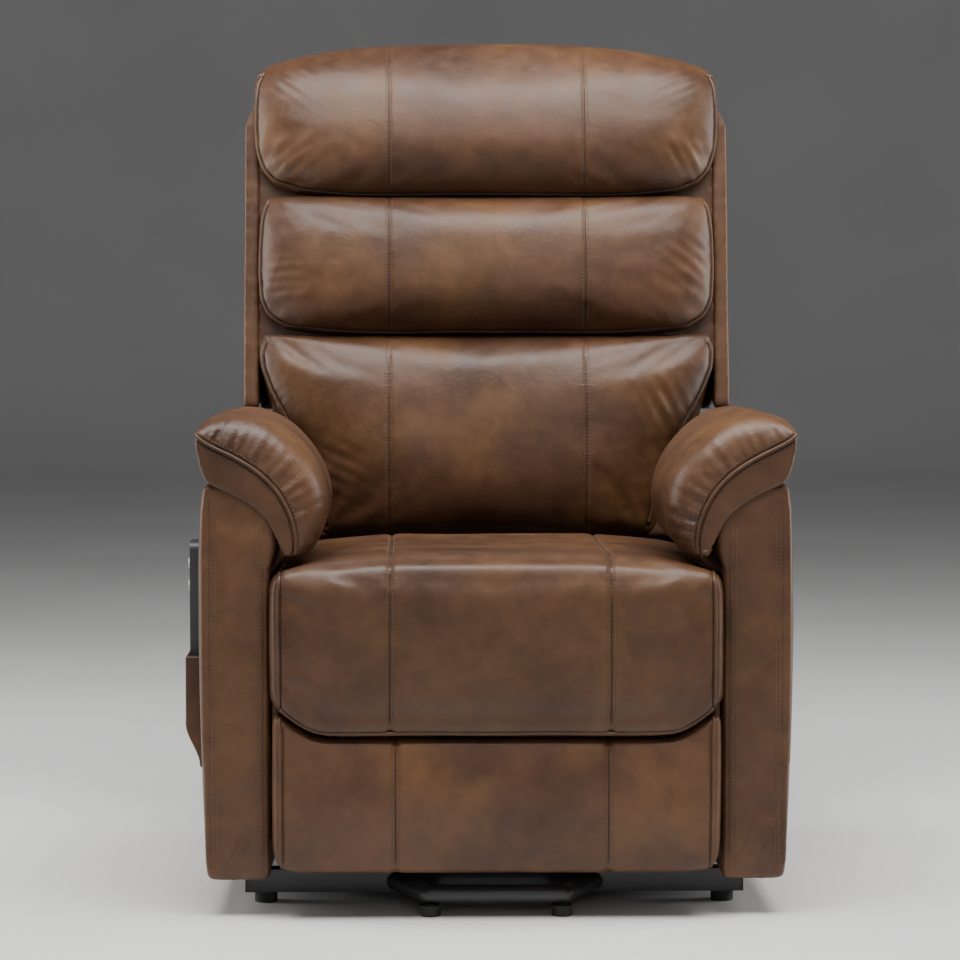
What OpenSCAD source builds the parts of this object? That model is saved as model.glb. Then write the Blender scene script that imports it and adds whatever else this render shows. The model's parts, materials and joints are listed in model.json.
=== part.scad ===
// Power lift recliner chair, millimetres. +Z up, front towards -Y, floor at Z = 0.

/* [Overall] */
// Half of the width over both arms' outer faces
arm_out = 375; // [340:1:420]
// Inner face of each arm
arm_in = 295; // [260:1:330]
// Front of the arms
arm_front = -397; // [-430:1:-350]
// Rear end of the arms
arm_rear = 265; // [220:1:300]
// Front of the seat cushion
seat_front = -433; // [-460:1:-400]
// Lean of the back from upright, degrees
lean = 10; // [0:1:20]

/* [Base] */
// Side of the square base tubes
tube = 30; // [20:1:40]
// Wall of the square base tubes
wall = 2; // [1:0.5:4]
// Height of the rubber feet
foot_h = 14; // [8:1:25]
// Diameter of the rubber feet
foot_d = 30; // [20:1:50]
// Half length of the cross tubes
cross_half = 326; // [280:1:360]
// Diameter of the bent front tube
loop_d = 24; // [18:1:32]

/* [Lift linkage] */
// Front pivot on the base, Y and Z
lift_f0 = [-300, 75]; // [-400:0.1:400]
// Front link pivot on the carriage, Y and Z
lift_b = [18.6, 85.5]; // [-400:0.1:400]
// Rear link pivot on the base, Y and Z
lift_r0 = [-248.8, 103.2]; // [-400:0.1:400]
// Rear link pivot on the carriage, Y and Z
lift_d = [185.7, 139.9]; // [-400:0.1:400]
// Diameter of the shaft across the front links
lift_shaft = 22; // [16:1:28]
// Swing of the front links, degrees
lift_q = 58.06; // [10:0.01:80]

/* [Footrest linkage] */
// Drive pivot, Y and Z
foot_a2 = [-303.2, 250]; // [-400:0.1:400]
// Distance from the drive pivot to the crossing pin
foot_m = 122.24; // [80:0.01:160]
// Distance from the drive pivot to the outer pin
foot_e = 155; // [100:0.01:200]
// Rest angle of the drive bar below the forward direction, degrees
foot_rest = 104.24; // [80:0.01:130]
// Slope of the crossing bars, degrees
foot_slope = 46.44; // [30:0.01:70]
// Length of the crossing bar behind its pin
foot_u1 = 46; // [30:0.1:80]
// Length of the crossing bar ahead of its pin
foot_u2 = 136; // [80:0.1:200]
// Width of the footrest bars
foot_w = 14; // [12:1:18]
// Swing of the footrest, degrees
foot_q = 84.49; // [30:0.01:90]

/* [Back hinge] */
// Back pivot, Y and Z
back_p = [185, 335]; // [0:1:400]
// Swing of the back, degrees
back_q = 45; // [0:1:60]

/* [Fits] */
// Radial running clearance at the pins
gap = 0.06; // [0.01:0.01:0.1]
// Radial clearance at the loop-closing pivots
loose = 0.3; // [0.1:0.05:1]

/* [Handset] */
// Handset width
hs_w = 56; // [40:1:80]
// Lower end of the handset
hs_z0 = 236; // [200:1:300]
// Upper end of the handset
hs_z1 = 479; // [400:1:540]

/* [Hidden] */
$fn = 48;
// Inner steel layers of the linkages, measured from the centre plane
rail_x0 = 222;
rail_x1 = 248;
// Footrest points at rest, as Y and Z
foot_dir = [-cos(foot_rest), -sin(foot_rest)];
cross_dir = [-cos(foot_slope), sin(foot_slope)];
foot_pm = foot_a2 + foot_m * foot_dir;
foot_pe = foot_a2 + foot_e * foot_dir;
foot_a1 = foot_a2 - foot_u1 * cross_dir;
foot_e1 = foot_pm - foot_u1 * cross_dir;
foot_c1 = foot_pm + foot_u2 * cross_dir;
foot_c2 = foot_pe + foot_u2 * cross_dir;
// Distance of each actuator line from its crank pivot
lift_h = 60;
back_h = 55;
foot_h2 = 34;
// Half of each rod's travel
lift_s = 32.51;
back_s = 22.48;
foot_s = 29.11;

// Button centres on the handset, Y and Z
handset_spots = [[-291, 450], [-269, 450], [-291, 420], [-269, 420]];

// Points of an arc about c, from angle a0 to a1 in n steps
function arc(c, r, a0, a1, n) =
    [for (i = [0:n]) let (a = a0 + (a1 - a0) * i / n) c + r * [cos(a), sin(a)]];

// Extrudes a Y-Z outline along X, from x0 over t
module yz(x0, t) {
    translate([x0, 0, 0]) rotate([90, 0, 90]) linear_extrude(t) children();
}

// The same on both sides of the chair, |X| from x0 over t
module pair(x0, t) {
    yz(x0, t) children();
    yz(-x0 - t, t) children();
}

// Cylinder along X from x0 over len at a Y-Z point
module rod_x(p, x0, len, d) {
    translate([x0, p[0], p[1]]) rotate([0, 90, 0]) cylinder(d = d, h = len);
}

module rod_pair(p, x0, len, d) {
    rod_x(p, x0, len, d);
    rod_x(p, -x0 - len, len, d);
}

// Round-ended bar outline between two Y-Z points with a hole at each end
module bar(p, q, w, dp, dq) {
    a = atan2(q[1] - p[1], q[0] - p[0]);
    difference() {
        polygon(concat(arc(p, w / 2, a + 90, a + 270, 16), arc(q, w / 2, a - 90, a + 90, 16)));
        translate(p) circle(d = dp);
        translate(q) circle(d = dq);
    }
}

// Crank lug outline: an arm from the pivot at angle a with a radial slot from r0 to r1
module lug(p, a, hub, r0, r1, slot) {
    translate(p) rotate(a) difference() {
        union() {
            circle(d = hub);
            polygon(concat([[0, slot], [0, -slot]], arc([r1, 0], slot, -90, 90, 16)));
        }
        polygon(concat(arc([r0, 0], slot / 2, 90, 270, 12), arc([r1, 0], slot / 2, -90, 90, 12)));
    }
}

// Square tube along X
module tube_x(len, s, t) {
    difference() {
        translate([-len / 2, -s / 2, -s / 2]) cube([len, s, s]);
        translate([-len / 2 - 1, -s / 2 + t, -s / 2 + t]) cube([len + 2, s - 2 * t, s - 2 * t]);
    }
}

// Places a shape drawn upright about the back pivot at the back's lean
module on_back() {
    translate([0, back_p[0], back_p[1]]) rotate([-lean, 0, 0]) children();
}

// Extrudes an X-Z outline along Y, from y0 over t
module xz(y0, t) {
    translate([0, y0 + t, 0]) rotate([90, 0, 0]) linear_extrude(t) children();
}

module base_front_tube() {
    color("dimgray") translate([0, -280, foot_h + tube / 2]) tube_x(2 * cross_half, tube, wall);
}

module base_rear_tube() {
    color("dimgray") translate([0, 215, foot_h + tube / 2]) tube_x(2 * cross_half, tube, wall);
}

module base_side_rails() {
    rail_w = rail_x1 - rail_x0;
    rail_x = rail_x0 + rail_w / 2;
    color("dimgray") for (x = [-rail_x, rail_x]) translate([x, -32.5, foot_h + tube / 2]) difference() {
        cube([rail_w, 465, tube], center = true);
        cube([rail_w - 2 * wall, 467, tube - 2 * wall], center = true);
    }
}

module base_front_loop() {
    color("dimgray") difference() {
        for (s = [0, 1]) mirror([s, 0, 0]) {
            translate([88, -385, 28]) {
                rotate([0, 90, atan2(91, 42)]) cylinder(d = loop_d, h = 108);
                sphere(d = loop_d);
            }
            translate([0, -385, 28]) rotate([0, 90, 0]) cylinder(d = loop_d, h = 88);
        }
        translate([-200, -295, 0]) cube([400, 60, 60]);
    }
}

module base_feet() {
    color("black") {
        for (x = [-302, 302], y = [-280, 215]) translate([x, y, 0]) cylinder(d = foot_d, h = foot_h);
        for (x = [-85, 85]) translate([x, -385, 0]) {
            cylinder(d = foot_d - 4, h = foot_h);
            cylinder(d = 12, h = 15.9);
        }
    }
}

module base_end_caps() {
    color("black") for (s = [-1, 1], y = [-280, 215])
        translate([s * (cross_half + 1.5), y, foot_h + tube / 2]) cube([3, tube, tube], center = true);
}

module base_brackets() {
    color("dimgray") {
        pair(248, 6) difference() {
            polygon([[-325, 44], [-326, 88], [-312, 102], [-268, 124], [-240, 124], [-222, 108], [-165, 44]]);
            translate(lift_f0) circle(d = lift_shaft + 2 * gap);
            translate(lift_r0) circle(d = 14);
        }
        for (s = [-1, 1]) translate([s * 235 - 13, -262, 44]) cube([26, 90, 4]);
        rod_pair(lift_r0, 248, 13.5, 14);
        rod_pair(lift_r0, 254, 0.8, 22);
        rod_pair(lift_r0, 261.2, 0.6, 12);
    }
}

module lift_motor_bracket() {
    color("dimgray") {
        for (s = [-1, 1]) translate([s * 34 - 3, 150, 44]) cube([6, 72, 112]);
        translate([-37, 196, 44]) cube([74, 26, 4]);
    }
}

module lift_front_links() {
    color("silver") {
        pair(262.2, 6) bar(lift_f0, lift_b, 30, lift_shaft, 12 + 2 * gap);
        difference() {
            rod_x(lift_f0, -268.2, 536.4, lift_shaft);
            rod_x(lift_f0, -269, 538, lift_shaft - 6);
        }
        yz(-4, 8) lug(lift_f0, 90 - lift_q / 2, 44, lift_h - 1, lift_h / cos(lift_q / 2) + 1, 14.7);
    }
}

module lift_rear_links() {
    color("silver") pair(255, 6) bar(lift_r0, lift_d, 26, 14 + 2 * gap, 12 + 2 * loose);
}

module carriage_link_pins() {
    color("gray") {
        rod_pair(lift_b, 261.4, 7.6, 12);
        rod_pair(lift_b, 268.4, 0.6, 24);
        rod_pair(lift_d, 254.4, 14.6, 12);
        rod_pair(lift_d, 261.4, 7.6, 20);
    }
}

module lift_motor() {
    color("darkslategray") {
        translate([-31, 128, 112]) cube([62, 66, 46]);
        translate([-24, 118, 52]) cube([48, 40, 62]);
        translate([0, 138, 50]) cylinder(d = 46, h = 6);
    }
}

module lift_motor_tube() {
    color("darkslategray") difference() {
        translate([0, 128, 75 + lift_h]) rotate([90, 0, 0]) cylinder(d = 36, h = 240);
        translate([0, 125, 75 + lift_h]) rotate([90, 0, 0]) cylinder(d = 20 + 2 * gap, h = 240);
    }
}

// Push rod along Y: forked end at the pin, tail inside the outer tube
module push_rod(x, z, y_pin, y_tail, d, pin, fork) {
    dir = y_tail > y_pin ? 1 : -1;
    long = abs(y_tail - y_pin) - 24;
    cheek_y = dir > 0 ? y_pin - 9 : y_pin - 34;
    web_y = dir > 0 ? y_pin + 25 : y_pin - 34;
    translate([x, y_pin + dir * 24, z]) rotate([-90 * dir, 0, 0]) cylinder(d = d, h = long);
    for (s = [-1, 1]) translate([x + s * (fork / 2 + 2) - 2, cheek_y, z - 9]) cube([4, 43, 18]);
    translate([x - fork / 2 - 1, web_y, z - 9]) cube([fork + 2, 9, 18]);
    rod_x([y_pin, z], x - fork / 2 - 5, fork + 10, pin);
}

module lift_rod() {
    color("silver") push_rod(0, 75 + lift_h, -300 + lift_s, 60, 20, 13, 9);
}

module carriage_plates() {
    color("dimgray") pair(269, 6) difference() {
        polygon([[-345, 205], [-345, 257], [222, 257], [222, 122], [200, 120], [40, 66], [0, 66], [-8, 205]]);
        translate(lift_b) circle(d = 12);
        translate(lift_d) circle(d = 12);
    }
}

module carriage_tubes() {
    color("dimgray") {
        translate([0, -162.5, 244.5]) tube_x(538, 25, 2);
        translate([0, 142.5, 219.5]) tube_x(538, 25, 2);
    }
}

module mechanism_plates() {
    color("dimgray") pair(211, 6) difference() {
        polygon([[-326, 236], [-326, 264], [-300, 276], [90, 300], [160, 358], [205, 358], [212, 318],
            [160, 196], [120, 196], [80, 236], [-235, 232], [-250, 196], [-286, 196]]);
        translate([-175, 232]) square(25);
        translate([130, 207]) square(25);
        translate(back_p) circle(d = 25 + 2 * gap);
        translate(foot_a2) circle(d = 14 + 2 * gap);
        translate(foot_a1) circle(d = 8);
    }
}

module seat_box_sides() {
    color("burlywood") for (s = [-1, 1]) translate([s * 282 - 7, -378, 200]) cube([14, 630, 62]);
}

module seat_box_rails() {
    color("burlywood") {
        translate([-289, -376, 262]) cube([578, 22, 60]);
        difference() {
            translate([-289, 46, 262]) cube([578, 28, 60]);
            for (s = [-1, 1]) translate([s * 214 - 4, 45, 261]) cube([8, 30, 40.5]);
            translate([38, 45, 261]) cube([44, 30, 40]);
        }
    }
}

module seat_springs() {
    color("silver") {
        for (x = [-225:75:225])
            translate([x, -360, 324]) rotate([-90, 0, 0]) cylinder(d = 4, h = 424, $fn = 16);
        for (y = [-270, -150, -30])
            translate([-226, y, 324]) rotate([0, 90, 0]) cylinder(d = 4, h = 452, $fn = 16);
    }
}

module seat_outline(top) {
    polygon(concat(
        arc([seat_front + 62, top - 62], 62, 180, 90, 10),
        arc([70, top - 24], 12, 90, 0, 4),
        [[82, 329], [-389, 329], [-389, 240]],
        arc([seat_front + 16, 256], 16, 270, 180, 4)
    ));
}

module seat_cushion() {
    color("saddlebrown") {
        yz(-290, 580) seat_outline(448);
        yz(-224, 448) seat_outline(464);
    }
}

module rear_skirt() {
    color("saddlebrown") translate([-289, 252, 50]) cube([578, 12, 214]);
}

module power_box() {
    color("black") translate([100, 66, 172]) cube([110, 64, 58]);
}

module arm_brackets() {
    color("dimgray") for (s = [-1, 1]) translate([s * 292 - 3, -150, 205]) cube([6, 300, 50]);
}

module arm_outline() {
    polygon([[arm_in, 50], [arm_out, 50], [arm_out, 562], [303, 522], [arm_in, 512]]);
}

module arm_cover() {
    color("saddlebrown") difference() {
        xz(arm_front, arm_rear - arm_front) arm_outline();
        xz(arm_front + 5, arm_rear - arm_front - 10) arm_inner_outline();
    }
}

module arm_inner_outline() {
    polygon([[arm_in + 5, 55], [arm_out - 5, 55], [arm_out - 5, 554], [305, 517], [arm_in + 5, 510]]);
}

module arm_frame() {
    color("burlywood") {
        for (x = [arm_in + 5, arm_out - 17])
            translate([x, arm_front + 6, 56]) cube([12, arm_rear - arm_front - 12, 440]);
        for (y = [arm_front + 6, arm_rear - 30]) translate([arm_in + 17, y, 56]) cube([46, 24, 440]);
        for (z = [56, 472])
            translate([arm_in + 17, arm_front + 30, z]) cube([46, arm_rear - arm_front - 60, 24]);
    }
}

module arm_frame_left() {
    arm_frame();
}

module arm_frame_right() {
    mirror([1, 0, 0]) arm_frame();
}

module arm_cover_left() {
    arm_cover();
}

module arm_cover_right() {
    mirror([1, 0, 0]) arm_cover();
}

module arm_pad() {
    outer = [[303, 529], [331, 546], [377, 567]];
    front = concat(outer, [[388, 616], [384, 630], [362, 642], [330, 648], [299, 641], [271, 621],
        [242, 592], [216, 550], [211, 530], [216, 501], [228, 462], [240, 456], [276, 456], [286, 499]]);
    rear = concat(outer, [[387, 606], [382, 620], [360, 627], [336, 627], [314, 616], [303, 596]]);
    color("saddlebrown") {
        xz(arm_front - 2, 462) polygon(front);
        xz(60, arm_rear - 70) polygon(rear);
    }
}

module arm_pad_left() {
    arm_pad();
}

module arm_pad_right() {
    mirror([1, 0, 0]) arm_pad();
}

module side_pocket() {
    color("saddlebrown") difference() {
        yz(-404, 28.6) polygon(concat([[-330, 331], [-330, 222]], arc([-306, 206], 24, 190, 265, 5),
            arc([-254, 206], 24, 275, 350, 5), [[-230, 222], [-230, 331]]));
        translate([-400.6, -314, 226]) cube([21.2, 68, 120]);
    }
}

module back_hinge() {
    color("dimgray") {
        difference() {
            rod_x(back_p, -230, 460, 25);
            rod_x(back_p, -231, 462, 19);
        }
        on_back() pair(222, 6) difference() {
            polygon([[-22, -18], [22, -18], [42, 40], [42, 220], [6, 220], [6, 60]]);
            circle(d = 25);
        }
        yz(56, 8) lug(back_p, -90 + back_q / 2, 44, back_h - 1, back_h / cos(back_q / 2) + 1, 12);
    }
}

module back_frame() {
    color("burlywood") on_back() {
        for (s = [-1, 1]) translate([s * 246 - 17.8, 4, 60]) cube([35.6, 40, 672]);
        translate([-221.8, 4, 90]) cube([443.6, 24, 40]);
        for (v = [350, 560, 690]) translate([-228, 4, v]) cube([456, 24, 40]);
        for (s = [-1, 1]) translate([s * 294 - 29.8, 4, 400]) cube([59.6, 24, 320]);
    }
}

module back_shell() {
    wing = concat([[-354, 306]], arc([-300, 700], 54, 180, 105, 5), arc([0, -519], 1309, 103, 77, 10),
        arc([300, 700], 54, 75, 0, 5), [[354, 306]]);
    color("saddlebrown") on_back() {
        difference() {
            xz(-62, 172) polygon(wing);
            translate([-331, -100, 300]) cube([662, 150, 438]);
            translate([-331, -100, 700]) cube([662, 103, 100]);
        }
        yz(-286, 572) polygon([[70, 345], [110, 345], [88, 34], [76, 30]]);
        yz(-268, 536) polygon(concat(arc([0, 0], 91, 22, -32, 8), arc([0, 0], 80, -32, 22, 8)));
        difference() {
            pair(269, 17) polygon(concat([[3, 345], [3, 90], [-60, 90], [-60, 20]],
                arc([0, 0], 62, 165, 330, 12), [[72, 30], [72, 345]]));
            rod_x([0, 0], -300, 600, 30);
        }
    }
}

// Back cushion outline between two heights, its top rising by tip along an arc
module cushion_block(half, v0, v1, tip, u0, u1) {
    crown_r = 900;
    spread = asin(half / crown_r) - 2;
    crown = tip > 0 ? arc([0, v1 + tip - crown_r], crown_r, 90 - spread, 90 + spread, 10) : [];
    xz(u0, u1 - u0) polygon(concat([[-half, v0], [half, v0], [half, v1]], crown, [[-half, v1]]));
}

module head_cushion() {
    color("saddlebrown") on_back() cushion_block(330, 597, 768, 52, -122, 2);
}

module middle_cushion() {
    color("saddlebrown") on_back() cushion_block(328, 394, 593, 0, -126, 2);
}

module lumbar_cushion() {
    edge = [[216, 102], [224, 170], [262, 245], [316, 334], [328, 352], [328, 390]];
    color("saddlebrown") on_back() xz(-118, 120)
        polygon(concat(edge, [for (i = [len(edge) - 1:-1:0]) [-edge[i][0], edge[i][1]]]));
}

module recline_motor() {
    color("darkslategray") {
        translate([33, -178, 258]) cube([54, 72, 46]);
        translate([40, -146, 205]) cube([40, 40, 53]);
    }
}

module recline_motor_tube() {
    color("darkslategray") difference() {
        translate([60, -106, 280]) rotate([-90, 0, 0]) cylinder(d = 34, h = 196);
        translate([60, -100, 280]) rotate([-90, 0, 0]) cylinder(d = 18 + 2 * gap, h = 200);
    }
}

module recline_rod() {
    color("silver") push_rod(60, 280, 185 + back_s, -30, 18, 11, 9);
}

module footrest_motor() {
    color("darkslategray") {
        translate([-87, 62, 193]) cube([54, 68, 46]);
        translate([-80, 64, 140]) cube([40, 40, 53]);
    }
}

module footrest_motor_tube() {
    color("darkslategray") difference() {
        translate([-60, 62, 216]) rotate([90, 0, 0]) cylinder(d = 32, h = 196);
        translate([-60, 56, 216]) rotate([90, 0, 0]) cylinder(d = 18 + 2 * gap, h = 200);
    }
}

module footrest_rod() {
    color("silver") push_rod(-60, 216, -303.2 + foot_s, -20, 18, 9, 9);
}

module footrest_drive() {
    color("silver") {
        pair(204.6, 5) bar(foot_a2, foot_pe, foot_w, 4, 4);
        rod_pair(foot_a2, 204.6, 12.8, 14);
        rod_x(foot_a2, -205, 410, 22);
        rod_pair(foot_pm, 198.8, 8, 8);
        rod_pair(foot_pe, 198.8, 8, 8);
        rod_pair(foot_pm, 197.8, 1.1, 14);
        rod_pair(foot_pe, 197.8, 1.1, 14);
        yz(-64, 8) lug(foot_a2, -90 + foot_q / 2, 40, foot_h2 - 1, foot_h2 / cos(foot_q / 2) + 1, 12);
    }
}

module footrest_cross_bars() {
    color("silver") {
        pair(199, 5) difference() {
            bar(foot_e1, foot_c1, foot_w, 4, 4);
            translate(foot_pm) circle(d = 8 + 2 * gap);
        }
        rod_pair(foot_e1, 199, 11.4, 8);
        rod_pair(foot_c1, 199, 11.4, 8);
        rod_pair(foot_e1, 210, 0.8, 14);
    }
}

module footrest_control_bars() {
    color("silver") pair(204.6, 5) bar(foot_a1, foot_e1, foot_w, 8 + 2 * gap, 8 + 2 * loose);
}

module control_pins() {
    color("gray") {
        rod_pair(foot_a1, 203.6, 14.4, 8);
        rod_pair(foot_a1, 202.8, 1, 14);
    }
}

module footrest_outer_bars() {
    color("silver") pair(199, 5) bar(foot_pe, foot_c2, foot_w, 8 + 2 * gap, 8 + 2 * loose);
}

module footrest_brackets() {
    color("dimgray") {
        pair(204.6, 5) difference() {
            polygon(concat(arc(foot_c1, 10, 60, -20, 5), arc(foot_c2, 10, -30, -110, 5),
                [[-378, 170], [-378, 228]]));
            translate(foot_c1) circle(d = 8 + 2 * gap);
        }
        for (s = [-1, 1]) translate([s * 217 - 12.4, -378, 110]) cube([24.8, 4, 118]);
        rod_pair(foot_c2, 199, 8, 8);
        rod_pair(foot_c2, 197.8, 1.1, 14);
    }
}

module footrest_board() {
    color("burlywood") translate([-280, -388, 66]) cube([560, 10, 162]);
}

module footrest_panel() {
    color("saddlebrown") yz(-287, 574) polygon(concat(arc([-410, 216], 15, 180, 90, 5),
        [[-388.5, 231], [-388.5, 60]], arc([-405, 80], 20, 270, 180, 5)));
}

// Vertical rounded slab for the handset, outer face towards -X
module hs_slab(x0, t, y0, w, z0, h, r) {
    translate([x0, 0, 0]) rotate([90, 0, 90]) linear_extrude(t) {
        translate([y0 + r, z0]) square([w - 2 * r, h]);
        translate([y0, z0 + r]) square([w, h - 2 * r]);
        for (a = [y0 + r, y0 + w - r], b = [z0 + r, z0 + h - r]) translate([a, b]) circle(r);
    }
}

module handset_case() {
    color("#303236") difference() {
        union() {
            hs_slab(-399, 12, -308, hs_w, hs_z0, hs_z1 - hs_z0, 12);
            hs_slab(-387, 6, -304, hs_w - 8, hs_z0 + 4, hs_z1 - hs_z0 - 8, 10);
            hs_slab(-381, 4, -300, hs_w - 16, 380, 70, 10);
        }
        hs_slab(-400, 3.4, -303, hs_w - 10, 352, hs_z1 - 352 - 8, 8);
        for (b = handset_spots) rod_x(b, -398, 7.6, 14.4);
    }
}

module handset_face() {
    color("#484b50") difference() {
        hs_slab(-399.4, 2.6, -302.7, hs_w - 10.6, 352.3, hs_z1 - 352 - 8.6, 7.7);
        for (b = handset_spots) rod_x(b, -401, 6, 14.2);
    }
}

module button(b) {
    color("#c8c8c4") {
        rod_x(b, -401.4, 6, 13.4);
        rod_x(b, -395.5, 2, 13.4);
    }
}

module button_back_up() {
    button(handset_spots[0]);
}

module button_back_down() {
    button(handset_spots[1]);
}

module button_lift_up() {
    button(handset_spots[2]);
}

module button_lift_down() {
    button(handset_spots[3]);
}

module handset_gland() {
    color("black") translate([-390, -280, 228]) cylinder(d = 9, h = 8);
}

base_front_tube();
base_rear_tube();
base_side_rails();
base_front_loop();
base_feet();
base_end_caps();
base_brackets();
lift_motor_bracket();
lift_front_links();
lift_rear_links();
carriage_link_pins();
lift_motor();
lift_motor_tube();
lift_rod();
carriage_plates();
carriage_tubes();
mechanism_plates();
seat_box_sides();
seat_box_rails();
seat_springs();
seat_cushion();
rear_skirt();
power_box();
arm_brackets();
arm_frame_left();
arm_frame_right();
arm_cover_left();
arm_cover_right();
arm_pad_left();
arm_pad_right();
side_pocket();
back_hinge();
back_frame();
back_shell();
head_cushion();
middle_cushion();
lumbar_cushion();
recline_motor();
recline_motor_tube();
recline_rod();
footrest_motor();
footrest_motor_tube();
footrest_rod();
footrest_drive();
footrest_cross_bars();
footrest_control_bars();
control_pins();
footrest_outer_bars();
footrest_brackets();
footrest_board();
footrest_panel();
handset_case();
handset_face();
button_back_up();
button_back_down();
button_lift_up();
button_lift_down();
handset_gland();
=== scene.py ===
import json
import math

import bpy
import numpy as np
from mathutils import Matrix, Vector
from mathutils.bvhtree import BVHTree


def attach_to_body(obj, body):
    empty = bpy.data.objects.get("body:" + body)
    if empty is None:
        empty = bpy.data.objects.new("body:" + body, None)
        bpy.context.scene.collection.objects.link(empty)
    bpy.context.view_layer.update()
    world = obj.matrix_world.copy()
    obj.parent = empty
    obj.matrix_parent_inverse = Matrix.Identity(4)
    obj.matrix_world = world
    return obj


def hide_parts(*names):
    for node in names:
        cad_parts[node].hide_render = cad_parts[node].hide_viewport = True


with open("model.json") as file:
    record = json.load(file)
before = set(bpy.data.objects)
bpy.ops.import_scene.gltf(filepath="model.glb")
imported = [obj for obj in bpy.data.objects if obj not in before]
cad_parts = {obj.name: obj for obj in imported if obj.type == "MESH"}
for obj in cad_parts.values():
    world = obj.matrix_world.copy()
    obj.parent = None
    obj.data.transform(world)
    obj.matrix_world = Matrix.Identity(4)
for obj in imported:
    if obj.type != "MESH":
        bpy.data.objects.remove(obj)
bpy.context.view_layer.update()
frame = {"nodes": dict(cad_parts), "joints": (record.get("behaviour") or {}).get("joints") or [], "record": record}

MM = 0.001
LEAN = math.radians(10)
JOINTS = {joint["name"]: joint for joint in frame["joints"]}
BACK_PIVOT = JOINTS["back_recline"]["pos_m"]
SEAM_X = 142            # the two upright seams of the back cushions, mm from the middle
VOXEL = 5 * MM          # remeshing of the larger soft pieces
FINE_VOXEL = 4 * MM     # remeshing of the arm pads, shell and skirt
PHASE = 6.28            # range of a wave's random phase
FAR = 9.0               # further than anything on the chair, m
BATCH = 20000           # points measured against a line at one time


# ---------------------------------------------------------------- materials

def new_material(name):
    material = bpy.data.materials.new(name)
    material.use_nodes = True
    nodes = material.node_tree.nodes
    return material, nodes, material.node_tree.links, nodes["Principled BSDF"]


def noise(nodes, links, vector, scale, detail=2.0, rough=0.5, distortion=0.0):
    node = nodes.new("ShaderNodeTexNoise")
    node.inputs["Scale"].default_value = scale
    node.inputs["Detail"].default_value = detail
    node.inputs["Roughness"].default_value = rough
    node.inputs["Distortion"].default_value = distortion
    links.new(vector, node.inputs["Vector"])
    return node.outputs["Fac"]


def ramp(nodes, links, factor, stops):
    node = nodes.new("ShaderNodeValToRGB")
    elements = node.color_ramp.elements
    while len(elements) < len(stops):
        elements.new(0.5)
    for element, (position, colour) in zip(elements, stops):
        element.position = position
        element.color = (*colour, 1)
    links.new(factor, node.inputs["Fac"])
    return node.outputs["Color"]


def map_range(nodes, links, value, low, high, from_low=0.3, from_high=0.7):
    node = nodes.new("ShaderNodeMapRange")
    node.inputs["From Min"].default_value = from_low
    node.inputs["From Max"].default_value = from_high
    node.inputs["To Min"].default_value = low
    node.inputs["To Max"].default_value = high
    links.new(value, node.inputs["Value"])
    return node.outputs["Result"]


def mix_colour(nodes, links, factor, a, b, mode="MIX"):
    node = nodes.new("ShaderNodeMix")
    node.data_type = "RGBA"
    node.blend_type = mode
    if isinstance(factor, float):
        node.inputs["Factor"].default_value = factor
    else:
        links.new(factor, node.inputs["Factor"])
    for value, socket in ((a, node.inputs["A"]), (b, node.inputs["B"])):
        if isinstance(value, tuple):
            socket.default_value = (*value, 1)
        else:
            links.new(value, socket)
    return node.outputs["Result"]


def bump(nodes, links, height, strength, distance, below=None):
    node = nodes.new("ShaderNodeBump")
    node.inputs["Strength"].default_value = strength
    node.inputs["Distance"].default_value = distance
    links.new(height, node.inputs["Height"])
    if below is not None:
        links.new(below, node.inputs["Normal"])
    return node.outputs["Normal"]


def object_vector(nodes, links, offset):
    place = nodes.new("ShaderNodeTexCoord")
    mapping = nodes.new("ShaderNodeMapping")
    mapping.inputs["Location"].default_value = offset
    links.new(place.outputs["Object"], mapping.inputs["Vector"])
    return mapping.outputs["Vector"]


DARK = (0.044, 0.0193, 0.0097)
BROWN = (0.064, 0.0290, 0.0142)
TAN = (0.082, 0.0375, 0.0178)
OCHRE = (0.110, 0.0535, 0.0185)


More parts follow.
